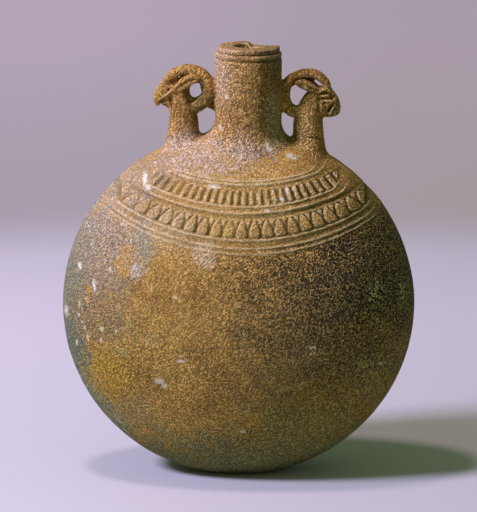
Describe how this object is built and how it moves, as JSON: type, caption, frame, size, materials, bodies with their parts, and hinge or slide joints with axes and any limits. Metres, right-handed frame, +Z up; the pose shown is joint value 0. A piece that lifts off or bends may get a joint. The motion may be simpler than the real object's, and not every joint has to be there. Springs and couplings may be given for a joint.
{
  "type": "lentoid flask",
  "caption": "Lens-shaped pottery flask with a tubular neck, a broad collar in relief on the shoulder, and handles shaped as ibex heads whose horns curve back to the neck.",
  "frame": {"origin": "middle of the flat spot on the underside of the body that the flask stands on", "axes": "+Z up along the bottle neck, +X towards the right handle, -Y out of the front face that carries the collar"},
  "size_m": [0.13, 0.07, 0.1594],
  "materials": {
    "body_surface": "weathered glazed composition, brown with green patches, matt to satin",
    "neck_surface": "weathered glazed composition, brown with a pale crust",
    "handle_surface": "weathered glazed composition, ochre brown with dark hollows"
  },
  "bodies": {
    "root": {"body_front_half": "body_surface", "body_back_half": "body_surface", "bottle_neck": "neck_surface", "left_ibex_neck": "handle_surface", "left_ibex_head": "handle_surface", "left_horns": "handle_surface", "left_ear_front": "handle_surface", "left_ear_back": "handle_surface", "right_ibex_neck": "handle_surface", "right_ibex_head": "handle_surface", "right_horns": "handle_surface", "right_ear_front": "handle_surface", "right_ear_back": "handle_surface"}
  },
  "joints": []
}
